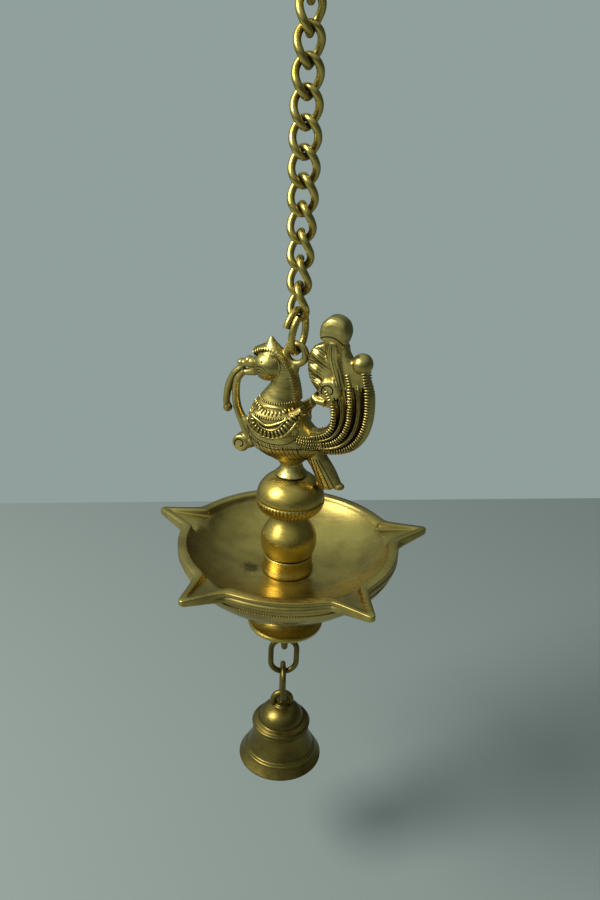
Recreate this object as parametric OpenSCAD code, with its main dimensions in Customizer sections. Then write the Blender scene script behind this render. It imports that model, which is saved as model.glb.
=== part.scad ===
// Hanging oil lamp: curb chain, cast peacock, turned pillar, five-spout dish and bell.
// Millimetres, Z up, origin on the seat inside the top of the hanging ring.

/* [Chain] */
// Diameter of the wire of the chain and its end link
wire_d = 2.7; // [2.3:0.1:3]
// Outside width of a chain link
link_w = 11; // [10.4:0.1:13]
// Drop from one link to the next
link_pitch = 8.95; // [8.6:0.05:11]
// Twist of each end of a link out of its middle plane
link_twist = 45; // [38:1:50]
// Turn of each link about the vertical against the one above
link_turn = 10.5; // [6:0.5:12]

/* [Hanging ring] */
// Diameter of the ring's wire
ring_wire_d = 3.2; // [2.6:0.1:3.6]
// Inside diameter of the ring
ring_bore = 18; // [14:0.5:26]

/* [End link] */
// Outside length of the open end link
end_l = 18; // [16.5:0.1:24]
// Outside width of the open end link
end_w = 13; // [12:0.1:16]
// Angle over which its two cut ends run side by side
end_lap = 36; // [20:1:45]

/* [Peacock] */
// Thickness of the body across the wings
body_t = 17; // [13:0.5:20]
// Thickness of the raised tail
tail_t = 8.5; // [6:0.5:11]
// Diameter of the head
head_d = 11.4; // [10:0.1:12.4]
// Diameter of the vine held in the beak
vine_d = 3; // [2.2:0.1:3.6]
// Diameter of the curled knob on top of the tail
knob_d = 12.2; // [10:0.1:14]
// Wire of the suspension lug
lug_wire_d = 2.7; // [2.3:0.1:3.2]
// Hole of the suspension lug
lug_bore = 4.6; // [4.2:0.1:6]
// Height of the lug's centre above the foot of the stem
lug_h = 46.6; // [45.5:0.1:49]
// Diameter of the stem where it stands on the pillar
stem_d = 8.4; // [7.4:0.1:10]

/* [Pillar] */
// Diameter of the collar that stands in the dish
collar_d = 20; // [17:0.5:23]
// Height of the collar
collar_h = 7.6; // [5:0.1:10]
// Largest diameter of the vase
vase_d = 21.8; // [18:0.1:26]
// Height of the vase
vase_h = 18; // [14:0.1:24]
// Diameter of the neck under the dome
neck_d = 12.8; // [10:0.1:15]
// Diameter of the dome over its milled band
dome_d = 26.2; // [22:0.1:30]
// Height of the dome with its underside
dome_h = 17.4; // [14:0.1:22]
// Height of the milled band
band_h = 3.4; // [2:0.1:5]

/* [Dish] */
// Diameter of the rim without the spouts
dish_d = 86; // [78:0.5:96]
// Width of the flat rim
rim_w = 3.5; // [2.5:0.1:5]
// Height of the rim's outer wall
rim_h = 4.4; // [3.4:0.1:6]
// Depth of the bowl inside
bowl_depth = 13; // [9:0.1:15]
// Height of the dish outside
dish_h = 20; // [17.5:0.1:24]
// Distance from the axis to a spout's tip
spout_reach = 57.2; // [54:0.1:64]
// Width of a spout where it leaves the rim
spout_w = 15; // [12:0.1:18]
// Width of a spout's blunt tip
tip_w = 3.6; // [2.8:0.1:5]

/* [Foot and eye] */
// Diameter of the foot's flared edge
foot_d = 30.4; // [26:0.1:36]
// Height of the foot
foot_h = 19; // [16:0.1:24]
// Diameter of the foot's waist
waist_d = 15; // [12:0.1:18]
// Wire of the eye under the foot
eye_wire_d = 2.6; // [2:0.1:3]
// Inside diameter of the eye
eye_bore = 5.8; // [5:0.1:8]

/* [Bell] */
// Wire of the two bell links
hook_wire_d = 2.3; // [1.8:0.1:2.6]
// Outside length of a bell link
hook_l = 19; // [16:0.1:26]
// Outside width of a bell link
hook_w = 13; // [11.5:0.1:16]
// Diameter of the bell's lip
bell_d = 35.6; // [32:0.1:42]
// Height of the bell from lip to crown
bell_h = 27; // [24:0.1:34]
// Diameter of the bell's shoulder
shoulder_d = 23.6; // [21:0.1:26]
// Thickness of the bell's wall
bell_wall = 1.9; // [1.4:0.1:2.6]

/* [Clapper] */
// Wire of the staple inside the bell
staple_wire_d = 1.5; // [1.2:0.1:1.8]
// Wire of the clapper's own eye
clapper_wire_d = 1.5; // [1.2:0.1:1.8]
// Diameter of the clapper's stem
clapper_stem_d = 2; // [1.6:0.1:2.6]
// Diameter of the clapper's ball
clapper_ball_d = 7; // [5:0.1:8]

/* [Fits] */
// Diameter of the tie stud
stud_d = 5; // [4:0.1:5.6]
// Room between the stud and the holes it passes
stud_gap = 0.06; // [0.04:0.01:0.1]
// Space between two wires that hang in one another
hang_gap = 0.25; // [0.15:0.01:0.4]

/* [Hidden] */
// Number of curb links
link_count = 12;
// Number of wick spouts
spout_count = 5;
// Facets round a wire and along a link
wire_sides = 8;
link_steps = 20;
end_steps = 26;
// Direction of the first link, of the end link and of the bell link that faces the front
first_turn = 74;
end_turn = 78;
hook_turn = 25;
// Rim plane is zero while the lamp is laid out
floor_z = -bowl_depth;
pillar_h = collar_h + vase_h + dome_h;
seat_z = floor_z + pillar_h;
lug_r = (lug_bore + lug_wire_d) / 2;
lug_z = seat_z + lug_h;
end_half_w = (end_w - wire_d) / 2;
end_half_l = (end_l - wire_d) / 2;
end_z = lug_z + lug_r - (lug_wire_d + wire_d) / 2 - hang_gap + end_half_l;
link_half_w = (link_w - wire_d) / 2;
link_half_l = (link_pitch + wire_d + hang_gap) / 2;
last_z = end_z + end_half_l - wire_d - hang_gap + link_half_l;
ring_r = (ring_bore + ring_wire_d) / 2;
first_z = last_z + (link_count - 1) * link_pitch;
ring_z = first_z + link_half_l - (wire_d + ring_wire_d) / 2 - hang_gap + ring_r;
hang_z = ring_z + ring_bore / 2;
foot_z = -dish_h - foot_h;
hollow_h = 3;
shank_l = 9;
eye_r = (eye_bore + eye_wire_d) / 2;
eye_z = foot_z - 3.2 - eye_r;
hook_half_l = (hook_l - hook_wire_d) / 2;
hook_half_w = (hook_w - hook_wire_d) / 2;
upper_z = eye_z - eye_r + (eye_wire_d + hook_wire_d) / 2 + hang_gap - hook_half_l;
lower_z = upper_z - 2 * hook_half_l + hook_wire_d + hang_gap;
crown_r = eye_r - 0.5;
crown_z = lower_z - hook_half_l + (hook_wire_d + eye_wire_d) / 2 + hang_gap - crown_r;
bell_z = crown_z - crown_r - bell_h + 1;
staple_r = 2.5;
staple_z = bell_h - 6.6;
clapper_r = 2.1;
clapper_z = staple_z - staple_r + (staple_wire_d + clapper_wire_d) / 2 + hang_gap - clapper_r;
$fn = 64;

brass = [0.72, 0.58, 0.26];
dark_brass = [0.55, 0.44, 0.2];

function link_name(i) = str("chain_link_", i < 10 ? "0" : "", i);
function link_angle(i) = first_turn - link_turn * (i - 1);
function unit(v) = v / norm(v);
function mix(a, b, s) = a * (1 - s) + b * s;
function ellipse(cx, cy, rx, ry, a0, a1, n = 10) =
    [for (i = [0:n]) let (a = mix(a0, a1, i / n)) [cx + rx * cos(a), cy + ry * sin(a)]];
function bezier(p, n) =
    [for (i = [0:n]) let (s = i / n, q = 1 - s)
        p[0] * q * q * q + p[1] * 3 * s * q * q + p[2] * 3 * s * s * q + p[3] * s * s * s];
function upright(path) = [for (p = path) [p[0], 0, p[1]]];

// One ring of points round each point of a path; "facing" is the normal of the path's own plane there
function tube_rings(path, wide, deep, facing, sides, loop = false) =
    let (n = len(path))
    [for (i = [0:n - 1])
        let (
            before = loop ? path[(i + n - 1) % n] : path[max(i - 1, 0)],
            after = loop ? path[(i + 1) % n] : path[min(i + 1, n - 1)],
            run = unit(after - before),
            side = unit(cross(run, facing[i])),
            out = cross(side, run)
        )
        [for (k = [0:sides - 1])
            let (a = 360 * k / sides)
            path[i] + wide[i] * cos(a) * side + deep[i] * sin(a) * out]];

// Closed skin over rings of points, capped at its ends or joined into a loop
module skin(rings, loop = false) {
    n = len(rings);
    m = len(rings[0]);
    last = loop ? n - 1 : n - 2;
    walls = [for (i = [0:last], k = [0:m - 1])
        let (a = i * m + k, b = i * m + (k + 1) % m, c = ((i + 1) % n) * m + k, d = ((i + 1) % n) * m + (k + 1) % m)
        each [[a, b, d], [a, d, c]]];
    caps = loop ? [] : concat(
        [for (k = [1:m - 2]) [0, k + 1, k]],
        [for (k = [1:m - 2]) let (e = (n - 1) * m) [e, e + k, e + k + 1]]);
    polyhedron(points = [for (r = rings) each r], faces = concat(walls, caps));
}

// Round or flattened rod along a path in the XZ plane
module rod(path, wide, deep, sides = 10) {
    skin(tube_rings(upright(path), wide, deep, [for (p = path) [0, 1, 0]], sides));
}

// Lays the lamp out below the hanging ring
module placed(z = 0, turn = 0) {
    translate([0, 0, z - hang_z])
        rotate([0, 0, turn])
            children();
}

module wire_eye(r, wire, sides = 32) {
    rotate([90, 0, 0])
        rotate_extrude()
            translate([r, 0])
                circle(d = wire, $fn = sides);
}

module hanging_ring() {
    color(brass)
        placed(ring_z, link_angle(1) - link_twist + 90)
            wire_eye(ring_r, ring_wire_d);
}

// Curb link: an oval of wire whose two ends are twisted opposite ways, so that the next link hooks in square
module chain_link(i) {
    steps = [for (k = [0:link_steps - 1]) 360 * k / link_steps];
    turned = [for (t = steps) -link_twist * sin(t)];
    path = [for (k = [0:link_steps - 1])
        [link_half_w * cos(steps[k]) * cos(turned[k]), link_half_w * cos(steps[k]) * sin(turned[k]),
            link_half_l * sin(steps[k])]];
    facing = [for (a = turned) [-sin(a), cos(a), 0]];
    wire = [for (t = steps) wire_d / 2];
    color(brass)
        placed(last_z + (link_count - i) * link_pitch, link_angle(i))
            skin(tube_rings(path, wire, wire, facing, wire_sides, true), true);
}

// End link: oval bent shut like a split ring, its cut ends side by side on one flank
module end_link() {
    first = 165;
    sweep = 360 + end_lap;
    lean = (wire_d + hang_gap + 0.1) * sweep / 360 / 2;
    top_s = (first - 90) / sweep;
    low_s = (first + 90) / sweep;
    steps = [for (k = [0:end_steps]) k / end_steps];
    path = [for (s = steps)
        let (t = first - sweep * s)
        [end_half_w * cos(t), lean * ((1 - 2 * s) - (1 - top_s - low_s) - (low_s - top_s) * sin(t)),
            end_half_l * sin(t)]];
    wire = [for (s = steps) wire_d / 2];
    facing = [for (s = steps) [0, 1, 0]];
    color(brass)
        placed(end_z, end_turn)
            skin(tube_rings(path, wire, wire, facing, wire_sides));
}

// Peacock, laid out from the foot of its stem
module bird_body() {
    // height, centre, half length and share of the thickness of each level of the body and neck
    levels = [[5.5, -0.6, 5.4, 0.55], [7.6, -3.2, 10.4, 0.74], [10.5, -2.6, 14.3, 0.92], [15, -3, 15, 1],
        [19, -4.8, 13.2, 0.97], [23, -6.2, 10.8, 0.88], [27, -6.1, 8.7, 0.76], [31, -4.9, 7, 0.6],
        [35, -3.6, 5.5, 0.48], [38.5, -4.2, 5, 0.44], [42, -6.8, 4.8, 0.42], [45, -8.6, 3.6, 0.36]];
    skin([for (v = levels) [for (k = [0:19]) [v[1] + v[2] * cos(18 * k), -body_t / 2 * v[3] * sin(18 * k), v[0]]]]);
    for (side = [-1, 1])
        translate([-4.6, side * body_t * 0.37, 20.6])
            scale([9.4, body_t * 0.19, 6.6])
                sphere(1, $fn = 18);
    for (side = [-1, 1])
        hull() {
            translate([0, side * body_t * 0.3, 23])
                sphere(2.4, $fn = 12);
            translate([5.8, side * body_t * 0.22, 27.6])
                sphere(2, $fn = 12);
        }
}

module bird_head() {
    translate([-11.5, 0, 41.5])
        scale([1, 0.9, 0.92])
            sphere(d = head_d, $fn = 20);
    // crest
    hull() {
        translate([-9.4, 0, 44.6])
            scale([1, 0.8, 0.5])
                sphere(4.6, $fn = 20);
        translate([-9.8, 0, 51])
            sphere(0.8, $fn = 12);
    }
    // beak with its cere and knob
    hull() {
        translate([-14.6, 0, 40.6])
            sphere(3.4, $fn = 12);
        translate([-18.6, 0, 39.8])
            sphere(2.4, $fn = 12);
    }
    hull() {
        translate([-18.6, 0, 39.8])
            sphere(2.4, $fn = 12);
        translate([-22, 0, 39.2])
            sphere(1.5, $fn = 12);
    }
    hull() {
        translate([-15.4, 0, 37.6])
            sphere(1.8, $fn = 12);
        translate([-19.8, 0, 36.2])
            sphere(1.4, $fn = 12);
    }
}

module bird_vine() {
    outer = bezier([[-20.4, 38.4], [-24, 37], [-27.3, 30], [-27.3, 22]], 9);
    inner = bezier([[-20, 36.6], [-25.4, 32], [-24.4, 18], [-17.6, 10.6]], 10);
    rod(outer, [for (p = outer) vine_d * 0.46], [for (p = outer) vine_d * 0.6]);
    rod(inner, [for (p = inner) vine_d * 0.5], [for (p = inner) vine_d * 0.6]);
    translate([-26.9, 0, 21.3])
        sphere(d = vine_d * 1.15, $fn = 12);
    // leaf against the breast
    hull() {
        translate([-20.6, 0, 18.2])
            sphere(vine_d / 2, $fn = 12);
        translate([-17.4, 0, 15])
            sphere(vine_d * 0.6, $fn = 12);
        translate([-18.2, 0, 11.4])
            sphere(vine_d * 0.6, $fn = 12);
    }
    // curled disc under the breast
    hull() {
        translate([-20.4, 0, 8.2])
            rotate([90, 0, 0])
                cylinder(h = vine_d * 1.8, r = 3.4, center = true, $fn = 18);
        translate([-15.6, 0, 9.4])
            rotate([90, 0, 0])
                cylinder(h = vine_d * 1.4, r = 1.8, center = true, $fn = 18);
    }
}

module bird_tail() {
    // ribs fan out between an outer and an inner sweep
    outer = [[4, 13.6], [27, 8], [32, 24], [26.4, 44.6]];
    inner = [[4, 18], [15.4, 15], [20.6, 24], [13.6, 36.4]];
    ribs = 5;
    for (k = [0:ribs - 1]) {
        path = bezier([for (j = [0:3]) mix(outer[j], inner[j], k / (ribs - 1))], 9);
        rod(path, [for (p = path) 2.1], [for (p = path) tail_t / 2 * (k == 0 ? 0.86 : 1)], 8);
    }
    // curl in the hollow of the tail
    translate([14.4, 0, 36.3])
        rotate([90, 0, 0])
            cylinder(h = tail_t * 1.12, r = 3.6, center = true, $fn = 18);
    // plate of the upper tail, between the ribs and the knob
    rotate([90, 0, 0])
        linear_extrude(height = tail_t * 0.74, center = true)
            polygon([[12, 29], [10.4, 33.6], [6.6, 38.2], [4.8, 42], [4.6, 47], [6.6, 51], [8.8, 53], [9.4, 58],
                [20, 58], [19.4, 52], [22, 47.4], [27, 46], [27.6, 39], [20, 31]]);
    hull() {
        translate([16.4, 0, 42])
            scale([1, tail_t * 0.11, 1])
                sphere(4.6, $fn = 12);
        translate([14.6, 0, 55])
            scale([1, tail_t * 0.11, 1])
                sphere(4.8, $fn = 12);
    }
    translate([14.7, 0, 58])
        scale([1, 0.86, 1])
            sphere(d = knob_d, $fn = 20);
    translate([24.8, 0, 47])
        scale([1, 1.05, 1])
            sphere(3.8, $fn = 20);
    // leaf lobes along the inner edge
    for (p = [[8.2, 48, 3.9], [8, 42.4, 4.2], [10, 37.4, 3.4]])
        hull() {
            translate([p[0], 0, p[1]])
                scale([1, tail_t * 0.1, 1])
                    sphere(p[2], $fn = 12);
            translate([p[0] + 5, 0, p[1] - 2])
                scale([1, tail_t * 0.1, 1])
                    sphere(p[2] * 0.9, $fn = 12);
        }
    hull() {
        translate([8.6, 0, 31.6])
            sphere(2.2, $fn = 12);
        translate([13, 0, 31])
            sphere(2.4, $fn = 12);
    }
}

// Feather that hangs below the tail
module bird_feather() {
    shape = [[3, 9.4], [13.6, 13], [18.4, 6.8], [21.8, -0.6], [20.4, -2.6], [16, -3.4], [11, -3.4], [10.3, 0],
        [10.7, 2.4], [8.4, 5]];
    rotate([90, 0, 0])
        linear_extrude(height = tail_t * 0.5, center = true)
            polygon(shape);
    hull() {
        translate([10, 0, 8])
            sphere(tail_t * 0.34, $fn = 12);
        translate([15.4, 0, -0.4])
            sphere(tail_t * 0.34, $fn = 12);
    }
}

module peacock() {
    color(brass)
        placed(seat_z)
            difference() {
                union() {
                    cylinder(h = 8.4, d1 = stem_d, d2 = stem_d * 1.5, $fn = 24);
                    bird_body();
                    bird_head();
                    bird_vine();
                    bird_tail();
                    bird_feather();
                    translate([0, 0, lug_h])
                        wire_eye(lug_r, lug_wire_d, 12, $fn = 24);
                    // root of the lug on the back of the neck
                    hull() {
                        translate([0, 0, lug_h - lug_r - 0.4])
                            sphere(lug_wire_d * 0.62, $fn = 12);
                        translate([-1.6, 0, lug_h - lug_r - 5])
                            sphere(lug_wire_d, $fn = 12);
                    }
                }
                translate([0, 0, -1])
                    cylinder(h = 6.5, d = stud_d + 2 * stud_gap, $fn = 24);
            }
}

module pillar() {
    neck_r = neck_d / 2;
    belly_h = vase_h * 0.36;
    rise = vase_h - belly_h;
    dome_z = collar_h + vase_h;
    edge = 0.6;
    outline = concat(
        [[0, 0], [collar_d / 2 - edge, 0], [collar_d / 2, edge], [collar_d / 2, collar_h - edge],
            [collar_d / 2 - edge, collar_h]],
        ellipse(vase_d / 2 - 2.6, collar_h + belly_h, 2.6, belly_h, -90, 0, 8),
        [for (i = [1:12]) let (s = i / 12)
            [mix(neck_r, vase_d / 2, 0.5 + 0.5 * cos(180 * s)), collar_h + belly_h + rise * s]],
        ellipse(dome_d / 2 - 0.7, dome_z + 0.4, dome_d / 2 - 0.7 - neck_r, 3, 180, 90, 8),
        [[dome_d / 2, dome_z + 4], [dome_d / 2, dome_z + 3.6 + band_h], [dome_d / 2 - edge, dome_z + 4 + band_h]],
        ellipse(0, dome_z + 4 + band_h, dome_d / 2 - edge, dome_h - 4 - band_h, 0, 70, 10),
        [[stem_d / 2 + 0.2, pillar_h], [0, pillar_h]]);
    color(brass)
        placed(floor_z)
            difference() {
                rotate_extrude()
                    polygon(outline);
                translate([0, 0, -1])
                    cylinder(h = pillar_h + 2, d = stud_d + 2 * stud_gap);
            }
}

module tie_stud() {
    low = foot_z + hollow_h + shank_l + 0.5;
    color(dark_brass)
        placed()
            translate([0, 0, low])
                cylinder(h = seat_z + 5 - low, d = stud_d);
}

module spout_plan(root_w, reach, tip) {
    start = dish_d / 2 - rim_w - 3;
    widen = (root_w - tip) / 2 / (reach - tip / 2 - dish_d / 2);
    back = root_w / 2 + widen * (dish_d / 2 - start);
    polygon(concat([[start, -back]], ellipse(reach - tip / 2, 0, tip / 2, tip / 2, -78, 78, 8), [[start, back]]));
}

module spout_side(start, reach, root_z, tip_z, top) {
    rotate([90, 0, 0])
        linear_extrude(height = 60, center = true)
            polygon([[start, root_z], [reach, tip_z], [reach, top], [start, top]]);
}

module oil_dish() {
    r = dish_d / 2;
    pad = foot_d * 0.44;
    edge = 0.35;
    outside = concat(
        [[0, -dish_h]],
        ellipse(pad, -rim_h - 0.6, r - 1.4 - pad, dish_h - rim_h - 0.6, -90, 0, 14),
        [[r - 0.5, -rim_h], [r, -rim_h + 0.5], [r, -2.3], [r - 0.6, -2], [r - 0.6, -1.5], [r, -1.2], [r, -edge],
            [r - edge, 0], [0, 0]]);
    inside = concat(
        [[0, 1], [r - rim_w, 1]],
        ellipse(collar_d / 2 + 2, 0, r - rim_w - collar_d / 2 - 2, bowl_depth, 0, -90, 14),
        [[0, floor_z]]);
    trough = (spout_w - tip_w) * 0.62;
    color(brass)
        placed()
            difference() {
                union() {
                    rotate_extrude($fn = 96)
                        polygon(outside);
                    for (i = [0:spout_count - 1])
                        rotate([0, 0, 180 + 360 / spout_count * i])
                            intersection() {
                                translate([0, 0, -dish_h])
                                    linear_extrude(height = dish_h)
                                        spout_plan(spout_w, spout_reach, tip_w);
                                spout_side(0, spout_reach + 1, -rim_h * 2.6, -2.5, 1);
                            }
                }
                rotate_extrude($fn = 96)
                    polygon(inside);
                for (i = [0:spout_count - 1])
                    rotate([0, 0, 180 + 360 / spout_count * i])
                        intersection() {
                            translate([0, 0, -dish_h])
                                linear_extrude(height = dish_h + 1)
                                    spout_plan(trough, spout_reach - 4.4, 1.2);
                            spout_side(0, spout_reach - 4, -rim_h * 2, -0.9, 1);
                        }
                translate([0, 0, -dish_h - 1])
                    cylinder(h = dish_h, d = stud_d + 2 * stud_gap);
            }
}

module foot() {
    pad = foot_d * 0.41;
    outline = concat(
        [[0, foot_h], [pad - 0.5, foot_h], [pad, foot_h - 0.5], [pad, foot_h - 1.6]],
        ellipse(pad, foot_h * 0.6, pad - waist_d / 2, foot_h * 0.4 - 2.4, 90, 180, 8),
        ellipse(foot_d / 2, foot_h * 0.6, foot_d / 2 - waist_d / 2, foot_h * 0.6 - 2.2, 188, 270, 10),
        [[foot_d / 2, 1.7], [foot_d / 2, 0.5], [foot_d / 2 - 0.5, 0], [foot_d / 2 - 2, 0],
            [foot_d / 2 - 4, hollow_h], [0, hollow_h]]);
    color(brass)
        placed(foot_z)
            difference() {
                rotate_extrude()
                    polygon(outline);
                translate([0, 0, -1])
                    cylinder(h = foot_h + 2, d = stud_d + 2 * stud_gap);
            }
}

module foot_eye() {
    flange_h = 1.6;
    top = foot_z + hollow_h;
    color(brass)
        placed(0, hook_turn + 90) {
            translate([0, 0, top])
                cylinder(h = shank_l, d = stud_d);
            translate([0, 0, top - flange_h])
                cylinder(h = flange_h, d = stud_d + 2.6);
            translate([0, 0, eye_z + eye_r])
                cylinder(h = top - flange_h - eye_z - eye_r, d = eye_wire_d * 1.3);
            translate([0, 0, eye_z])
                wire_eye(eye_r, eye_wire_d);
        }
}

// Plain oval link: two half rings and two straight flanks
module oval_link(half_w, half_l, wire) {
    straight = half_l - half_w;
    rotate([90, 0, 0])
        for (side = [0, 180])
            rotate([0, 0, side]) {
                translate([0, straight, 0])
                    rotate_extrude(angle = 180)
                        translate([half_w, 0])
                            circle(d = wire, $fn = 32);
                translate([half_w, -straight, 0])
                    rotate([-90, 0, 0])
                        cylinder(h = 2 * straight, d = wire, $fn = 32);
            }
}

module bell_link_upper() {
    color(brass)
        placed(upper_z, hook_turn)
            oval_link(hook_half_w, hook_half_l, hook_wire_d);
}

module bell_link_lower() {
    color(brass)
        placed(lower_z, hook_turn + 90)
            oval_link(hook_half_w, hook_half_l, hook_wire_d);
}

// Bell outline, also used a wall's thickness in for its inside
function bell_outline(lip, shoulder, top, flare_h) = concat(
    [for (i = [0:10]) let (s = i / 10) [shoulder + (lip - shoulder) * pow(1 - s, 2.2), flare_h * s]],
    ellipse(0, flare_h, shoulder, top - flare_h, 8, 70, 9));

module bell() {
    lip = bell_d / 2;
    flare_h = bell_h * 0.64;
    inner_top = bell_h - 4.4;
    color(brass)
        placed(bell_z, hook_turn)
            difference() {
                union() {
                    rotate_extrude()
                        polygon(concat([[0, 0], [lip - 0.6, 0], [lip, 0.6]],
                            [for (p = bell_outline(lip, shoulder_d / 2, bell_h, flare_h)) [p[0], p[1] + 0.9]],
                            [[3, bell_h + 0.9], [0, bell_h + 0.9]]));
                    translate([0, 0, flare_h + 0.4])
                        cylinder(h = 1.4, d = shoulder_d + 0.9);
                    translate([0, 0, bell_h])
                        cylinder(h = 1.2, d1 = 7.4, d2 = 5);
                    translate([0, 0, crown_z - bell_z])
                        wire_eye(crown_r, eye_wire_d);
                }
                rotate_extrude()
                    polygon(concat([[0, -1], [lip - bell_wall * 0.8, -1]],
                        bell_outline(lip - bell_wall * 0.8, shoulder_d / 2 - bell_wall, inner_top, flare_h),
                        [[0, inner_top]]));
                for (side = [-1, 1])
                    translate([side * staple_r, 0, staple_z])
                        cylinder(h = 5.6, d = staple_wire_d + 2 * stud_gap, $fn = 32);
            }
}

module clapper_staple() {
    color(dark_brass)
        placed(bell_z + staple_z, hook_turn) {
            rotate([90, 0, 0])
                rotate([0, 0, 180])
                    rotate_extrude(angle = 180)
                        translate([staple_r, 0])
                            circle(d = staple_wire_d, $fn = 32);
            for (side = [-1, 1])
                translate([side * staple_r, 0, 0])
                    cylinder(h = 5.4, d = staple_wire_d, $fn = 32);
        }
}

module clapper() {
    ball_z = clapper_ball_d / 2 + 1.6;
    stem_top = clapper_z - clapper_r;
    color(dark_brass)
        placed(bell_z, hook_turn + 90) {
            translate([0, 0, clapper_z])
                wire_eye(clapper_r, clapper_wire_d);
            translate([0, 0, ball_z])
                cylinder(h = stem_top - ball_z, d = clapper_stem_d, $fn = 32);
            translate([0, 0, ball_z])
                sphere(d = clapper_ball_d, $fn = 48);
        }
}

for (i = [1:link_count])
    chain_link(i);
hanging_ring();
end_link();
peacock();
pillar();
tie_stud();
oil_dish();
foot();
foot_eye();
bell_link_upper();
bell_link_lower();
bell();
clapper_staple();
clapper();
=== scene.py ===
import math

import bpy
import numpy as np
from mathutils import Matrix, Vector
from mathutils.bvhtree import BVHTree


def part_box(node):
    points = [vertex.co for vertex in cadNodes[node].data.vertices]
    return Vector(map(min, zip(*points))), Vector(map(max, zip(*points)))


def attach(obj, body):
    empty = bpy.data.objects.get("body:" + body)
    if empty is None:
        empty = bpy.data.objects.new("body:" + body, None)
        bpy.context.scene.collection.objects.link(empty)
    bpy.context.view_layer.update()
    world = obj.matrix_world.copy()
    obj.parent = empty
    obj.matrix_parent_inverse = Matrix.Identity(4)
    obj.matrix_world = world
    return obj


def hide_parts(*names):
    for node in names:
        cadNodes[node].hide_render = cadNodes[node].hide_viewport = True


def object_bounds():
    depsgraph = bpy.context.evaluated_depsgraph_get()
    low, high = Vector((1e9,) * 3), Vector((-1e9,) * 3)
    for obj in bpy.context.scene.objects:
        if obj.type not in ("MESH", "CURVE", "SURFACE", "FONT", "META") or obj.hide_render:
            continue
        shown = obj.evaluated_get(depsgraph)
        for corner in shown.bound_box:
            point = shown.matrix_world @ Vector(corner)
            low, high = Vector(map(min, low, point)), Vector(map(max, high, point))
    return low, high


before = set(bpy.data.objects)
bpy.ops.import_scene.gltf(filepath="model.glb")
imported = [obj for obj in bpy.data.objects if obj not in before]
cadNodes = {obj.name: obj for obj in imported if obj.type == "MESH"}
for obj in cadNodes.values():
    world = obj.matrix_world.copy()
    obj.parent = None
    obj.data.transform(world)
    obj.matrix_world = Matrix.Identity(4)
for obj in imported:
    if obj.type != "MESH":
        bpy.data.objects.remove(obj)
cadBounds = [list(corner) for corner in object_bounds()]
mm = 0.001


# helpers for colours, nodes and meshes

def linearColour(hexCode):
    channels = [int(hexCode[i:i + 2], 16) / 255 for i in (1, 3, 5)]
    return [c / 12.92 if c <= 0.04045 else ((c + 0.055) / 1.055) ** 2.4 for c in channels] + [1.0]


def addNode(tree, kind, inputs=None, links=None, **settings):
    node = tree.nodes.new(kind)
    for key, value in settings.items():
        setattr(node, key, value)
    for key, value in (inputs or {}).items():
        node.inputs[key].default_value = value
    for key, source in (links or {}).items():
        tree.links.new(source, node.inputs[key])
    return node


def mapRange(tree, value, low, high, toLow, toHigh):
    node = addNode(tree, "ShaderNodeMapRange", links={"Value": value},
                   inputs={"From Min": low, "From Max": high, "To Min": toLow, "To Max": toHigh})
    return node.outputs["Result"]


def noise(tree, where, sizeMm, detail, roughness):
    node = addNode(tree, "ShaderNodeTexNoise", links={"Vector": where},
                   inputs={"Scale": 1 / (sizeMm * mm), "Detail": detail, "Roughness": roughness})
    return node.outputs["Fac"]


def linkedObject(name, data):
    holder = bpy.data.objects.new(name, data)
    bpy.context.scene.collection.objects.link(holder)
    return holder


def meshObject(name, verts, faces, material):
    mesh = bpy.data.meshes.new(name)
    mesh.from_pydata([tuple(v) for v in verts], [], [tuple(f) for f in faces])
    mesh.validate()
    mesh.polygons.foreach_set("use_smooth", [True] * len(mesh.polygons))
    mesh.materials.append(material)
    return linkedObject(name, mesh)


def selectOnly(pieces):
    for other in bpy.context.selected_objects:
        other.select_set(False)
    for piece in pieces:
        piece.select_set(True)
    bpy.context.view_layer.objects.active = pieces[0]


def recalcOutwards(piece):
    selectOnly([piece])
    bpy.ops.object.mode_set(mode="EDIT")
    bpy.ops.mesh.select_all(action="SELECT")
    bpy.ops.mesh.remove_doubles(threshold=0.002 * mm)
    bpy.ops.mesh.normals_make_consistent(inside=False)
    bpy.ops.object.mode_set(mode="OBJECT")
    return piece


def spunMesh(name, profile, centre, material, steps):
    # profile as (radius, height) in mm, closed by the axis or by its own first point
    count = len(profile)
    verts = []
    for i in range(steps):
        a = 2 * math.pi * i / steps
        for r, z in profile:
            verts.append(centre + Vector((r * math.cos(a), r * math.sin(a), z)) * mm)
    faces = []
    for i in range(steps):
        j = (i + 1) % steps
        for k in range(count - 1):
            faces.append((i * count + k, j * count + k, j * count + k + 1, i * count + k + 1))
    return recalcOutwards(meshObject(name, verts, faces, material))


def sweptRings(path, wide, deep, sides):
    # path in mm in the bird's plane, (x, z); wide lies in that plane and deep across it
    path = np.array(path, float)
    run = np.gradient(path, axis=0)
    run /= np.linalg.norm(run, axis=1)[:, None]
    rings = []
    for p, t, w, d in zip(path, run, wide, deep):
        a = np.linspace(0, 2 * math.pi, sides, endpoint=False)
        across = np.array([t[1], -t[0]])
        xz = p + np.outer(w * np.cos(a), across)
        rings.append(np.c_[xz[:, 0], d * np.sin(a), xz[:, 1]])
    return rings


def skinnedRings(rings):
    sides = len(rings[0])
    verts = np.concatenate(rings)
    faces = []
    for i in range(len(rings) - 1):
        for k in range(sides):
            n = (k + 1) % sides
            faces.append((i * sides + k, i * sides + n, (i + 1) * sides + n, (i + 1) * sides + k))
    faces.append(tuple(range(sides))[::-1])
    faces.append(tuple(range((len(rings) - 1) * sides, len(rings) * sides)))
    return verts, faces


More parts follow.
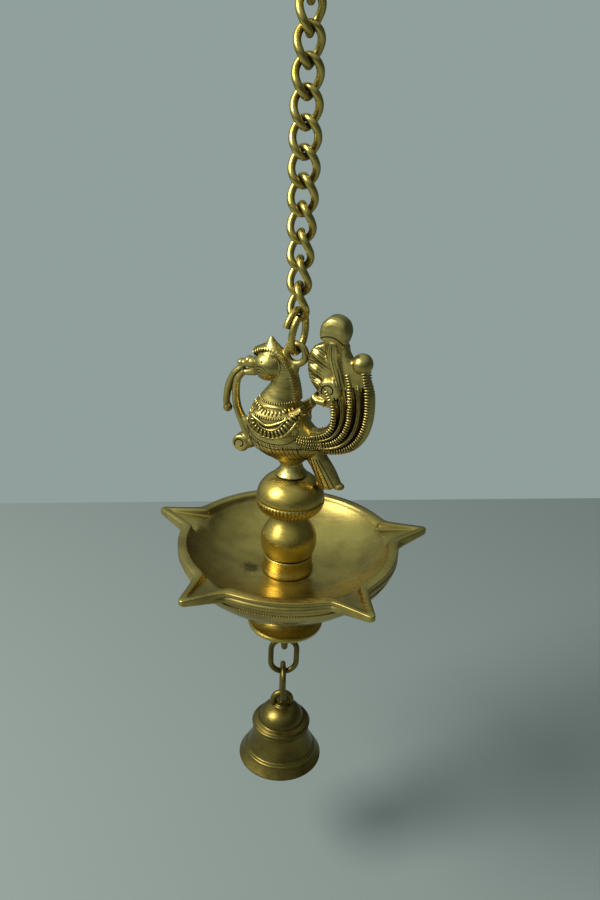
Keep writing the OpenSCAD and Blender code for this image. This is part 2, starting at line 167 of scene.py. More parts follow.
def bezierPath(points, count):
    p = [np.array(q, float) for q in points]
    s = np.linspace(0, 1, count)[:, None]
    return p[0] * (1 - s) ** 3 + 3 * p[1] * s * (1 - s) ** 2 + 3 * p[2] * s * s * (1 - s) + p[3] * s ** 3


def smoothPath(points, count):
    # Catmull-Rom through the points
    p = np.array([points[0]] + list(points) + [points[-1]], float)
    out = []
    for s in np.linspace(0, len(points) - 1.0001, count):
        i = int(s)
        t = s - i
        a, b, c, d = p[i], p[i + 1], p[i + 2], p[i + 3]
        out.append(0.5 * (2 * b + (c - a) * t + (2 * a - 5 * b + 4 * c - d) * t * t
                          + (3 * b - a - 3 * c + d) * t ** 3))
    return np.array(out)


def pathObject(name, points, closed=False, leans=None):
    mesh = bpy.data.meshes.new(name)
    count = len(points)
    edges = [(i, i + 1) for i in range(count - 1)] + ([(count - 1, 0)] if closed else [])
    mesh.from_pydata([tuple(p) for p in points], edges, [])
    if leans:
        layer = mesh.attributes.new("lean", "FLOAT_VECTOR", "POINT")
        layer.data.foreach_set("vector", [c for lean in leans for c in lean])
    return linkedObject(name, mesh)


def grownMesh(name, guide, tree, sizes, material):
    # runs a tree on a guide and keeps the result as one plain mesh
    modifier = guide.modifiers.new(tree.name, "NODES")
    modifier.node_group = tree
    for item in tree.interface.items_tree:
        if item.in_out == "INPUT" and item.name in sizes:
            modifier[item.identifier] = sizes[item.name]
        if item.in_out == "INPUT" and item.name == "Finish":
            modifier[item.identifier] = material
    graph = bpy.context.evaluated_depsgraph_get()
    mesh = bpy.data.meshes.new_from_object(guide.evaluated_get(graph))
    guide.modifiers.remove(modifier)
    bpy.data.objects.remove(guide)
    mesh.name = name
    if not mesh.materials:
        mesh.materials.append(material)
    return linkedObject(name, mesh)


def newTree(name, sizes):
    tree = bpy.data.node_groups.new(name, "GeometryNodeTree")
    tree.interface.new_socket("Guide", in_out="INPUT", socket_type="NodeSocketGeometry")
    for socketName, kind in sizes:
        tree.interface.new_socket(socketName, in_out="INPUT", socket_type=kind)
    tree.interface.new_socket("Finish", in_out="INPUT", socket_type="NodeSocketMaterial")
    tree.interface.new_socket("Result", in_out="OUTPUT", socket_type="NodeSocketGeometry")
    return tree


def wireTree():
    # round wire along a guide, with its cut ends closed
    tree = newTree("wireAlongGuide", [("Wire Radius", "NodeSocketFloat"), ("Round Steps", "NodeSocketInt")])
    start = addNode(tree, "NodeGroupInput")
    line = addNode(tree, "GeometryNodeMeshToCurve", links={"Mesh": start.outputs["Guide"]})
    section = addNode(tree, "GeometryNodeCurvePrimitiveCircle",
                      links={"Resolution": start.outputs["Round Steps"], "Radius": start.outputs["Wire Radius"]})
    tube = addNode(tree, "GeometryNodeCurveToMesh", inputs={"Fill Caps": True},
                   links={"Curve": line.outputs["Curve"], "Profile Curve": section.outputs["Curve"]})
    smooth = addNode(tree, "GeometryNodeSetShadeSmooth", links={"Geometry": tube.outputs["Mesh"]})
    real = addNode(tree, "GeometryNodeRealizeInstances", links={"Geometry": smooth.outputs["Geometry"]})
    finish = addNode(tree, "GeometryNodeSetMaterial",
                     links={"Geometry": real.outputs["Geometry"], "Material": start.outputs["Finish"]})
    addNode(tree, "NodeGroupOutput", links={"Result": finish.outputs["Geometry"]})
    return tree


def beadTree():
    # a row of drop-shaped beads along a guide, each turned to run with it
    tree = newTree("beadsAlongGuide", [("Bead Spacing", "NodeSocketFloat"), ("Bead Length", "NodeSocketFloat"),
                                       ("Bead Width", "NodeSocketFloat"), ("Bead Height", "NodeSocketFloat")])
    start = addNode(tree, "NodeGroupInput")
    line = addNode(tree, "GeometryNodeMeshToCurve", links={"Mesh": start.outputs["Guide"]})
    spaced = addNode(tree, "GeometryNodeResampleCurve", mode="LENGTH",
                     links={"Curve": line.outputs["Curve"], "Length": start.outputs["Bead Spacing"]})
    tangent = addNode(tree, "GeometryNodeInputTangent")
    along = addNode(tree, "FunctionNodeAlignRotationToVector", axis="X",
                    links={"Vector": tangent.outputs["Tangent"]})
    lean = addNode(tree, "GeometryNodeInputNamedAttribute", data_type="FLOAT_VECTOR", inputs={"Name": "lean"})
    turned = addNode(tree, "FunctionNodeAlignRotationToVector", axis="Y", pivot_axis="X",
                     links={"Rotation": along.outputs["Rotation"], "Vector": lean.outputs["Attribute"]})
    size = addNode(tree, "ShaderNodeCombineXYZ",
                   links={"X": start.outputs["Bead Length"], "Y": start.outputs["Bead Height"],
                          "Z": start.outputs["Bead Width"]})
    bead = addNode(tree, "GeometryNodeMeshUVSphere", inputs={"Segments": 8, "Rings": 5, "Radius": 0.5})
    row = addNode(tree, "GeometryNodeInstanceOnPoints",
                  links={"Points": spaced.outputs["Curve"], "Instance": bead.outputs["Mesh"],
                         "Rotation": turned.outputs["Rotation"], "Scale": size.outputs["Vector"]})
    real = addNode(tree, "GeometryNodeRealizeInstances", links={"Geometry": row.outputs["Instances"]})
    smooth = addNode(tree, "GeometryNodeSetShadeSmooth", links={"Geometry": real.outputs["Geometry"]})
    finish = addNode(tree, "GeometryNodeSetMaterial",
                     links={"Geometry": smooth.outputs["Geometry"], "Material": start.outputs["Finish"]})
    addNode(tree, "NodeGroupOutput", links={"Result": finish.outputs["Geometry"]})
    return tree


def joinedPiece(name, pieces):
    selectOnly(pieces)
    bpy.ops.object.join()
    pieces[0].name = name
    pieces[0].data.name = name
    return pieces[0]


# Brass goes olive brown in random patches of patina and stays pale gold elsewhere; its hollows are painted dark, partly
# as grime and partly as painted shade, while high spots keep the pale gold.
brassLooks = {
    # sand-cast bird: grainy, painted black in the hollows as shade and grime
    "agedCastBrass": {
        "gold": "#CDB86E", "olive": "#8C783A", "grimeAndShade": "#1C1405", "roughness": 0.3,
        "patchMm": 9, "patina": 0.7, "grainMm": 0.7, "grainHeight": 0.3, "hollow": 0.96, "shadeReachMm": 1.6,
    },
    # lathe-turned pillar and foot: smooth, soft long highlights
    "satinTurnedBrass": {
        "gold": "#CAAE58", "olive": "#8A7030", "grimeAndShade": "#2A1E0A", "roughness": 0.29,
        "patchMm": 14, "patina": 0.45, "grainMm": 0.5, "grainHeight": 0.1, "hollow": 0.8, "shadeReachMm": 2.2,
    },
    # dish scoured with cloth: wide dull sheen
    "brushedDishBrass": {
        "gold": "#C2AA60", "olive": "#786634", "grimeAndShade": "#241A0A", "roughness": 0.3,
        "patchMm": 20, "patina": 0.7, "grainMm": 0.45, "grainHeight": 0.12, "hollow": 0.55, "shadeReachMm": 3,
        "stainAt": (-13.2, -6, -229.4), "stainMm": 6, "stain": "#2A1A0B",
    },
    # drawn wire of the chain: bright where links rub
    "drawnBrassWire": {
        "gold": "#D0B864", "olive": "#917A34", "grimeAndShade": "#241A08", "roughness": 0.26,
        "patchMm": 6, "patina": 0.5, "grainMm": 0.6, "grainHeight": 0.12, "hollow": 0.85, "shadeReachMm": 1.8,
    },
    # bell and its wires: brown tarnish with a dull gleam
    "tarnishedBellBrass": {
        "gold": "#84723A", "olive": "#544722", "grimeAndShade": "#1A1306", "roughness": 0.34,
        "patchMm": 11, "patina": 0.8, "grainMm": 0.7, "grainHeight": 0.18, "hollow": 0.9, "shadeReachMm": 2,
    },
    # painted shade of the chaser's cuts, with grime left in them: flat dark brown
    "cutGrimeAndShadeBrass": {
        "gold": "#33280F", "olive": "#221908", "grimeAndShade": "#0E0A03", "roughness": 0.6,
        "patchMm": 5, "patina": 0.8, "grainMm": 0.5, "grainHeight": 0.2, "hollow": 0.8, "shadeReachMm": 1,
    },
}


def brassMaterial(name, look):
    material = bpy.data.materials.new(name)
    material.use_nodes = True
    tree = material.node_tree
    tree.nodes.clear()
    where = addNode(tree, "ShaderNodeTexCoord").outputs["Object"]
    # patches of patina, about patchMm across
    patch = mapRange(tree, noise(tree, where, look["patchMm"], 5.0, 0.62), 0.38, 0.68, 0.0, look["patina"])
    tone = addNode(tree, "ShaderNodeMix", data_type="RGBA", links={0: patch},
                   inputs={6: linearColour(look["gold"]), 7: linearColour(look["olive"])})
    # painted shade mixed with grime: ambient occlusion darkens hollows up to the look's set width in mm, broken up by a
    # finer noise
    hollowShadeOcclusion = addNode(tree, "ShaderNodeAmbientOcclusion", samples=8, inputs={"Distance": look["shadeReachMm"] * mm})
    fleck = noise(tree, where, 1.8, 4.0, 0.7)
    brokenHollowShade = addNode(tree, "ShaderNodeMath", operation="MULTIPLY_ADD", inputs={1: 0.3},
                     links={0: fleck, 2: hollowShadeOcclusion.outputs["AO"]})
    hollow = mapRange(tree, brokenHollowShade.outputs["Value"], 0.98, 0.5, 0.0, look["hollow"])
    shade = addNode(tree, "ShaderNodeMix", data_type="RGBA", links={0: hollow, 6: tone.outputs[2]},
                    inputs={7: linearColour(look["grimeAndShade"])}).outputs[2]
    if "stainAt" in look:
        # burnt oil left beside the pillar, ragged at its edge
        away = addNode(tree, "ShaderNodeVectorMath", operation="DISTANCE", links={0: where},
                       inputs={1: [c * mm for c in look["stainAt"]]})
        ragged = addNode(tree, "ShaderNodeMath", operation="MULTIPLY_ADD", inputs={1: -9 * mm},
                         links={0: fleck, 2: away.outputs["Value"]})
        stain = mapRange(tree, ragged.outputs["Value"], -3 * mm, (look["stainMm"] - 6) * mm, 0.75, 0.0)
        shade = addNode(tree, "ShaderNodeMix", data_type="RGBA", links={0: stain, 6: shade},
                        inputs={7: linearColour(look["stain"])}).outputs[2]
    # fine casting grain, and handling scratches that vary the gloss
    grain = noise(tree, where, look["grainMm"], 3.0, 0.6)
    stretch = addNode(tree, "ShaderNodeMapping", links={"Vector": where},
                      inputs={"Rotation": (0.5, 0.9, 0.3), "Scale": (0.12, 1.0, 1.0)})
    scratch = noise(tree, stretch.outputs["Vector"], 0.8, 2.0, 0.5)
    rough = mapRange(tree, scratch, 0.3, 0.7, look["roughness"] - 0.06, look["roughness"] + 0.1)
    dull = addNode(tree, "ShaderNodeMath", operation="MULTIPLY_ADD", inputs={1: 0.3}, links={0: hollow, 2: rough})
    bump = addNode(tree, "ShaderNodeBump", links={"Height": grain},
                   inputs={"Strength": look["grainHeight"], "Distance": 0.12 * mm})
    surface = addNode(tree, "ShaderNodeBsdfPrincipled", inputs={"Metallic": 1.0},
                      links={"Base Color": shade, "Roughness": dull.outputs["Value"],
                             "Normal": bump.outputs["Normal"]})
    addNode(tree, "ShaderNodeOutputMaterial", links={"Surface": surface.outputs["BSDF"]})
    return material


finishes = {name: brassMaterial(name, look) for name, look in brassLooks.items()}
castBrass = finishes["agedCastBrass"]
turnedBrass = finishes["satinTurnedBrass"]
dishBrass = finishes["brushedDishBrass"]
wireBrass = finishes["drawnBrassWire"]
bellBrass = finishes["tarnishedBellBrass"]
cutShadeBrass = finishes["cutGrimeAndShadeBrass"]

cadFinish = {"tie_stud": turnedBrass, "clapper_staple": wireBrass, "clapper": bellBrass}
for nodeName, node in cadNodes.items():
    for slot in node.material_slots:
        slot.material = cadFinish.get(nodeName, turnedBrass)
print("finishes ready")

wire = wireTree()
beads = beadTree()

# heights that the frame gives: the dish's rim, and the pillar's foot and top
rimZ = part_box("oil_dish")[1].z
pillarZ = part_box("pillar")[0].z
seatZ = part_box("pillar")[1].z


# twelve twisted curb links, each with a butted seam; wire a little under the CAD's, so bent links stay clear
chain = {"count": 12, "firstTurn": 74, "turnEach": 10.5, "twist": 45, "wireMm": 2.62, "halfWMm": 4.15,
         "seamAt": 103, "seamMm": 0.16, "pathSteps": 72, "roundSteps": 18}


def linkMiddle(node):
    low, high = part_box(node)
    return Vector((0, 0, (low.z + high.z) / 2)), (high.z - low.z) / 2


def circlePoints(radius, count):
    return [(radius * math.cos(a), 0, radius * math.sin(a)) for a in np.linspace(0, 2 * math.pi, count, endpoint=False)]


def turnedPoints(points, turn, centre):
    # stands points drawn about the origin at their centre, turned about the vertical
    c, s = math.cos(math.radians(turn)), math.sin(math.radians(turn))
    return [centre + Vector((c * x - s * y, s * x + c * y, z)) for x, y, z in points]


def bentWire(name, points, spec, finish, closed=False):
    guide = pathObject(name + "Guide", points, closed)
    return grownMesh(name, guide, wire,
                     {"Wire Radius": spec["wireMm"] / 2 * mm, "Round Steps": spec["roundSteps"]}, finish)


def wireRing(name, radius, centre, spec, finish):
    circle = circlePoints(radius, spec["pathSteps"])
    return bentWire(name, turnedPoints(circle, spec["turn"], centre), spec, finish, closed=True)


for i in range(1, chain["count"] + 1):
    node = f"chain_link_{i:02d}"
    centre, halfOut = linkMiddle(node)
    halfL = halfOut - chain["wireMm"] / 2 * mm
    halfW = chain["halfWMm"] * mm
    gap = math.degrees(chain["seamMm"] * mm / halfW) / 2
    points = []
    for k in range(chain["pathSteps"] + 1):
        # the wire starts and ends at the butted seam on the upper arc
        t = math.radians(chain["seamAt"] + gap + (360 - 2 * gap) * k / chain["pathSteps"])
        turn = -math.radians(chain["twist"]) * math.sin(t)
        points.append((halfW * math.cos(t) * math.cos(turn), halfW * math.cos(t) * math.sin(turn),
                       halfL * math.sin(t)))
    turn = chain["firstTurn"] - chain["turnEach"] * (i - 1)
    piece = bentWire(f"curbLink{i:02d}", turnedPoints(points, turn, centre), chain, wireBrass)
    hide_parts(node)
    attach(piece, node)

# open end link: one turn of wire and a lap, with its cut ends side by side
endLink = {"turn": 78, "first": 165, "lap": 36, "wireMm": 2.58, "halfW": 5.15, "halfL": 7.65, "gap": 0.35,
           "pathSteps": 96, "roundSteps": 18}


def endLinkPoints(spec):
    steps = spec["pathSteps"]
    sweep = 360 + spec["lap"]
    lean = (spec["wireMm"] + spec["gap"]) * sweep / 360 / 2
    topS = (spec["first"] - 90) / sweep
    lowS = (spec["first"] + 90) / sweep
    points = []
    for k in range(steps + 1):
        s = k / steps
        t = math.radians(spec["first"] - sweep * s)
        side = lean * ((1 - 2 * s) - (1 - topS - lowS) - (lowS - topS) * math.sin(t))
        points.append((spec["halfW"] * mm * math.cos(t), side * mm, spec["halfL"] * mm * math.sin(t)))
    return points


centre = linkMiddle("end_link")[0]
piece = bentWire("openEndLink", turnedPoints(endLinkPoints(endLink), endLink["turn"], centre), endLink, wireBrass)
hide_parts("end_link")
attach(piece, "end_link")

ring = {"turn": 119, "wireMm": 3.2, "pathSteps": 72, "roundSteps": 20}
centre, halfOut = linkMiddle("hanging_ring")
piece = wireRing("hangingRing", halfOut - ring["wireMm"] / 2 * mm, centre, ring, wireBrass)
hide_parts("hanging_ring")
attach(piece, "hanging_ring")

# two plain oval links carry the bell
bellLinks = {"wireMm": 2.3, "halfW": 5.35, "turn": {"bell_link_upper": 25, "bell_link_lower": 115},
             "pathSteps": 80, "roundSteps": 18}
for node, turn in bellLinks["turn"].items():
    centre, halfOut = linkMiddle(node)
    halfL = halfOut - bellLinks["wireMm"] / 2 * mm
    halfW = bellLinks["halfW"] * mm
    straight = halfL - halfW
    points = [(x, 0, z + math.copysign(straight, z)) for x, y, z in circlePoints(halfW, bellLinks["pathSteps"])]
    pieceName = node.replace("bell_link_", "bellLink_")
    piece = bentWire(pieceName, turnedPoints(points, turn, centre), bellLinks, bellBrass, closed=True)
    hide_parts(node)
    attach(piece, node)
print("chain and rings ready")


# pillar, foot and the eye under it, all turned about the lamp's axis
pillar = {"collarR": 10.0, "collarH": 7.6, "vaseR": 10.9, "vaseH": 18.0, "neckR": 6.4, "domeR": 13.1,
          "domeH": 17.4, "millH": 5.6, "seatR": 4.4, "notches": 56, "notchMm": 0.5, "steps": 336}


def arcPoints(cx, cz, rx, rz, a0, a1, count=16):
    return [(cx + rx * math.cos(math.radians(a)), cz + rz * math.sin(math.radians(a)))
            for a in np.linspace(a0, a1, count)]


def pillarProfile(p):
    belly = p["vaseH"] * 0.36
    rise = p["vaseH"] - belly
    domeZ = p["collarH"] + p["vaseH"]
    line = [(0, 0)] + arcPoints(p["collarR"] - 0.5, 0.5, 0.5, 0.5, -90, 0, 5)
    line += [(p["collarR"], 1.6), (p["collarR"] - 0.35, 1.9), (p["collarR"] - 0.4, p["collarH"] - 1.2)]
    line += arcPoints(p["collarR"] - 1.2, p["collarH"] - 0.8, 0.8, 0.8, 0, 90, 6)
    line += [(p["vaseR"] - 2.5, p["collarH"])]
    line += arcPoints(p["vaseR"] - 2.4, p["collarH"] + belly, 2.4, belly - 0.1, -82, 0, 14)
    for k in np.linspace(0.05, 1, 24):
        blend = 0.5 + 0.5 * math.cos(math.pi * k ** 1.15)
        line.append((p["neckR"] + (p["vaseR"] - p["neckR"]) * blend, p["collarH"] + belly + rise * k))
    # bulging milled underside, a scribed step, then the smooth dome
    line += [(p["neckR"] + 0.1, domeZ + 0.3)]
    millZ = domeZ + p["millH"]
    line += arcPoints(p["neckR"] + 0.4, millZ + 0.4, p["domeR"] - p["neckR"] - 0.4, p["millH"], -86, 0, 26)
    line += [(p["domeR"], millZ + 1.0), (p["domeR"] - 0.5, millZ + 1.25), (p["domeR"] - 0.5, millZ + 1.5),
             (p["domeR"] - 0.2, millZ + 1.8)]
    line += arcPoints(0, millZ + 1.8, p["domeR"] - 0.2, p["domeH"] - 1.8 - p["millH"], 4, 70, 24)
    line += [(p["seatR"], domeZ + p["domeH"]), (0, domeZ + p["domeH"])]
    return line


pillarPiece = spunMesh("turnedPillar", pillarProfile(pillar), Vector((0, 0, pillarZ)), turnedBrass, pillar["steps"])
# upright notches all round the dome's underside
millLow = pillar["collarH"] + pillar["vaseH"] + 0.6
millHigh = millLow + pillar["millH"] + 0.2
for v in pillarPiece.data.vertices:
    z = (v.co.z - pillarZ) / mm
    r = math.hypot(v.co.x, v.co.y) / mm
    if millLow < z < millHigh and r > pillar["neckR"] + 0.8:
        cut = (0.5 + 0.5 * math.cos(math.atan2(v.co.y, v.co.x) * pillar["notches"])) ** 3
        fade = min(1, (z - millLow) / 0.8, (millHigh - z) / 0.5)
        shrink = 1 - pillar["notchMm"] * cut * fade / r
        v.co.x *= shrink
        v.co.y *= shrink
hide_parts("pillar")
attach(pillarPiece, "lamp")

foot = {"r": 15.2, "h": 19.0, "waistR": 7.5, "padR": 12.464, "boreR": 2.56, "hollow": 3.0, "steps": 160}
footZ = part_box("foot")[0].z
padR, boreR = foot["padR"], foot["boreR"]
footLine = [(boreR, foot["h"]), (padR - 0.5, foot["h"]), (padR, foot["h"] - 0.5), (padR, foot["h"] - 1.6)]
footLine += arcPoints(padR, foot["h"] * 0.6, padR - foot["waistR"], foot["h"] * 0.4 - 2.4, 90, 180, 14)
footLine += arcPoints(foot["r"], foot["h"] * 0.6, foot["r"] - foot["waistR"], foot["h"] * 0.6 - 2.2, 188, 270, 20)
footLine += arcPoints(foot["r"] - 1.1, 1.1, 1.1, 1.1, 80, -90, 12)
footLine += [(foot["r"] - 2, 0), (foot["r"] - 4, foot["hollow"]), (boreR, foot["hollow"]), (boreR, foot["h"])]
footPiece = spunMesh("turnedFoot", footLine, Vector((0, 0, footZ)), turnedBrass, foot["steps"])
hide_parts("foot")
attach(footPiece, "lamp")

eye = {"turn": 115, "wireMm": 2.6, "boreMm": 5.8, "pathSteps": 56, "roundSteps": 16}
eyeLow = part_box("foot_eye")[0].z
eyeR = (eye["boreMm"] + eye["wireMm"]) / 2
eyeCentre = Vector((0, 0, eyeLow + (eyeR + eye["wireMm"] / 2) * mm))
loop = wireRing("footEyeLoop", eyeR * mm, eyeCentre, eye, bellBrass)
eyeTop = (footZ - eyeCentre.z) / mm
shank = spunMesh("footEyeShank", [(0, eyeR - 0.6), (1.7, eyeR - 0.6), (1.7, eyeTop + 1.4), (3.8, eyeTop + 1.4),
                                  (3.8, eyeTop + 3), (2.5, eyeTop + 3), (2.5, eyeTop + 12), (0, eyeTop + 12)],
                 eyeCentre, bellBrass, 48)
eyePiece = joinedPiece("footEye", [loop, shank])
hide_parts("foot_eye")
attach(eyePiece, "lamp")
print("turned pieces ready")


# oil dish with five pointed wick spouts
dish = {"r": 43.0, "rimW": 3.5, "rimH": 4.4, "bowl": 13.0, "h": 20.0, "padR": 13.4, "collarR": 12.0, "boreR": 2.56,
        "spouts": 5, "reach": 57.2, "spoutW": 15.0, "tipW": 3.6, "fillet": 2.2,
        "troughW": 9.6, "troughEnd": 53.4, "troughIn": 2.7, "troughTip": 0.6, "steps": 720}


def spoutRadius(angle, base, rootW, reach, tipW, fillet):
    # distance to the edge along a ray, for a round plate with pointed spouts
    sector = 2 * math.pi / dish["spouts"]
    a = abs((angle - math.pi + sector / 2) % sector - sector / 2)
    centre = reach - tipW / 2
    widen = (rootW - tipW) / 2 / (centre - dish["r"])
    side = (rootW / 2 + widen * dish["r"]) / (math.sin(a) + widen * math.cos(a))
    if math.sin(a) * centre < tipW / 2:
        side = min(side, centre * math.cos(a) + math.sqrt((tipW / 2) ** 2 - (centre * math.sin(a)) ** 2))
    hi, lo = max(side, base), min(side, base)
    return hi + fillet * math.log(1 + math.exp(-(hi - lo) / fillet)) * 0.6


def bowlDepth(r):
    inner = dish["r"] - dish["rimW"]
    if r <= dish["collarR"]:
        return dish["bowl"]
    if r >= inner:
        return 0.0
    fall = max(0.0, 1 - ((r - dish["collarR"]) / (inner - dish["collarR"])) ** 2)
    return dish["bowl"] * (0.5 * math.sqrt(fall) + 0.5 * fall)


def dishMesh(d):
    steps = d["steps"]
    rings = []
    angles = [2 * math.pi * i / steps for i in range(steps)]
    outer = [spoutRadius(a, d["r"], d["spoutW"], d["reach"], d["tipW"], d["fillet"]) for a in angles]
    inner = [spoutRadius(a, d["r"] - d["rimW"], d["troughW"], d["troughEnd"], 1.2, 1.6) for a in angles]
    share = [max(0.0, (o - d["r"]) / (d["reach"] - d["r"])) for o in outer]
    # underside from the foot's pad out to the rim
    under = [(d["boreR"], -d["h"] + 8), (d["boreR"], -d["h"])]
    under += arcPoints(d["padR"], -d["rimH"] - 0.6, d["r"] - 1.4 - d["padR"], d["h"] - d["rimH"] - 0.6, -90, -4, 26)
    for r, z in under:
        rings.append([(r, z)] * steps)
    wallLow = [-d["rimH"] + (d["rimH"] - 2.5) * s for s in share]
    rings.append([(d["r"] - 1.3 + (o - d["r"]) * 0.25, -d["rimH"] - 0.5 + 0.2 * s) for o, s in zip(outer, share)])
    rings.append([(o - 0.5, z) for o, z in zip(outer, wallLow)])
    rings.append([(o - 0.1, z + 0.3) for o, z in zip(outer, wallLow)])
    rings.append([(o, z + 0.6) for o, z in zip(outer, wallLow)])
    for drop, inset in ((-2.1, 0), (-1.95, 0.45), (-1.6, 0.45), (-1.45, 0)):
        # a scribed line runs round the rim's wall and fades out on the spouts
        rings.append([(o - inset * max(0, 1 - 3 * s), drop + 0.25 * s) for o, s in zip(outer, share)])
    rings.append([(o, -0.4) for o in outer])
    rings.append([(o - 0.12, -0.12) for o in outer])
    rings.append([(o - 0.4, 0.0) for o in outer])
    rings.append([(i + 0.35, 0.0) for i in inner])
    rings.append([(i + 0.1, -0.08) for i in inner])

    def insideZ(r, i):
        # the bowl, or the shallow trough of a spout where that is deeper
        depth = bowlDepth(r)
        run = min(1, max(0, (r - d["r"] + d["rimW"]) / (d["troughEnd"] - d["r"] + d["rimW"])))
        wall = min(1.0, (inner[i] - r) / 1.5)
        trough = (d["troughIn"] + (d["troughTip"] - d["troughIn"]) * run) * math.sin(wall * math.pi / 2)
        return -max(depth, trough)

    # rings crowd near the rim, where the wall is steep
    for drop in [0.3, 0.6, 1.0, 1.5, 2.1, 2.8, 3.6, 4.5, 5.5, 6.6, 7.8, 9.2, 10.8, 12.6, 14.6, 16.8, 19.2, 21.8, 24.6]:
        reached = [e - drop * (e - 15) / (d["r"] - d["rimW"] - 15) for e in inner]
        rings.append([(r, insideZ(r, i)) for i, r in enumerate(reached)])
    rings.append([(d["collarR"], -d["bowl"])] * steps)
    rings.append([(d["boreR"], -d["bowl"])] * steps)
    rings.append([(d["boreR"], -d["h"] + 8)] * steps)
    verts, faces = [], []
    for row in rings:
        for a, (r, z) in zip(angles, row):
            verts.append(Vector((r * mm * math.cos(a), r * mm * math.sin(a), rimZ + z * mm)))
    for k in range(len(rings) - 1):
        for i in range(steps):
            j = (i + 1) % steps
            faces.append((k * steps + i, k * steps + j, (k + 1) * steps + j, (k + 1) * steps + i))
    return verts, faces


dishPiece = recalcOutwards(meshObject("oilDish", *dishMesh(dish), dishBrass))
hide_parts("oil_dish")
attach(dishPiece, "lamp")

# rope lines chased round the outside: one low on the bowl, one under the rim
dishRopes = {"lowRope": {"r": 34.1, "z": -15.45}, "rimRope": {"r": 41.45, "z": -6.9}}
ropeSize = {"Bead Spacing": 1.0 * mm, "Bead Length": 1.05 * mm, "Bead Width": 0.7 * mm, "Bead Height": 0.7 * mm}
for name, spec in dishRopes.items():
    points = [Vector((spec["r"] * mm * math.cos(a), spec["r"] * mm * math.sin(a), rimZ + spec["z"] * mm))
              for a in np.linspace(0, 2 * math.pi, 200, endpoint=False)]
    rope = grownMesh("dish_" + name, pathObject(name + "Guide", points, closed=True), beads, ropeSize, dishBrass)
    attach(rope, "lamp")
print("dish ready")


# bell with its crown eye
bell = {"lipR": 17.8, "shoulderR": 11.8, "h": 27.0, "wall": 1.9, "eyeR": 3.7, "turn": 25, "wireMm": 2.6,
        "ridges": [(18.4, 0.55, 0.75), (16.4, 0.3, 0.3), (5.2, 0.3, 0.32), (6.2, 0.3, 0.25)],  # height, spread, rise
        "steps": 160, "pathSteps": 56, "roundSteps": 16}
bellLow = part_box("bell")[0].z


def bellLine(lip, shoulder, top, flare, lift):
    line = [(shoulder + (lip - shoulder) * (1 - s) ** 2.2, flare * s + lift) for s in np.linspace(0, 1, 22)]
    return line + [(x, z + lift) for x, z in arcPoints(0, flare, shoulder, top - flare, 8, 70, 16)]


def ridged(line, ridges):
    out = []
    for r, z in line:
        for at, spread, rise in ridges:
            r += rise * math.exp(-((z - at) / spread) ** 2)
        out.append((r, z))
    return out


flare = bell["h"] * 0.64  # height of the flared part
dense = []
outerLine = bellLine(bell["lipR"], bell["shoulderR"], bell["h"], flare, 0.9)
for (r0, z0), (r1, z1) in zip(outerLine, outerLine[1:]):
    dense += [(r0 + (r1 - r0) * s, z0 + (z1 - z0) * s) for s in (0, 0.25, 0.5, 0.75)]
outerLine = ridged(dense + [outerLine[-1]], bell["ridges"])
ledge = flare + 2.3  # step from the shoulder to the cap
outerLine = [q for q in outerLine if q[1] < ledge]
outerLine += [(11.6, ledge + 0.1), (9.9, ledge + 0.25), (9.5, ledge + 0.6)]
outerLine += arcPoints(0, ledge + 0.6, 9.5, bell["h"] + 0.9 - ledge - 0.6, 6, 72, 16)
innerTop = bell["h"] - 4.6
innerLine = bellLine(bell["lipR"] - bell["wall"] * 0.8, bell["shoulderR"] - 3.4, innerTop, flare - 1.5, 0)
bellProfile = [(0, innerTop)] + innerLine[::-1] + [(bell["lipR"] - 0.6, 0), (bell["lipR"], 0.6)] + outerLine
bellProfile += [(3, bell["h"] + 0.9), (2.5, bell["h"] + 1.2), (0, bell["h"] + 1.2)]
shell = spunMesh("bellShell", bellProfile, Vector((0, 0, bellLow)), bellBrass, bell["steps"])
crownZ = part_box("bell")[1].z - (bell["eyeR"] + bell["wireMm"] / 2) * mm
crown = wireRing("bellEye", bell["eyeR"] * mm, Vector((0, 0, crownZ)), bell, bellBrass)
bellPiece = joinedPiece("castBell", [shell, crown])
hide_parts("bell")
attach(bellPiece, "bell")
print("bell ready")


# peacock: soft cast forms first, fused to one skin, then its chased ornament
bird = {"bodyT": 17.0, "tailT": 8.5, "ribHalf": 1.2, "webHalf": 2.1, "webDeep": 2.7,
        "head": (-10.1, 40.9), "lugR": 3.65, "lugZ": 46.6, "lugWireR": 1.32, "voxelMm": 0.33, "softenTimes": 3}


def birdPoint(x, y, z):
    return Vector((x * mm, y * mm, seatZ + z * mm))


def castForm(name, rings):
    verts, faces = skinnedRings(rings)
    return meshObject(name, [birdPoint(*v) for v in verts], faces, castBrass)


def castBall(name, centre, size, steps=24):
    rings = []
    for a in np.linspace(-math.pi / 2 + 0.05, math.pi / 2 - 0.05, steps // 2 + 1):
        b = np.linspace(0, 2 * math.pi, steps, endpoint=False)
        rings.append(np.c_[centre[0] + size[0] * math.cos(a) * np.cos(b), centre[1] + size[1] * math.cos(a) * np.sin(b),
                           np.full(steps, centre[2] + size[2] * math.sin(a))])
    return castForm(name, rings)


def castRod(name, points, wide, deep):
    path = smoothPath(points, 40)
    at = np.linspace(0, 1, len(wide))
    full = np.linspace(0, 1, len(path))
    return castForm(name, sweptRings(path, np.interp(full, at, wide), np.interp(full, at, deep), 20))


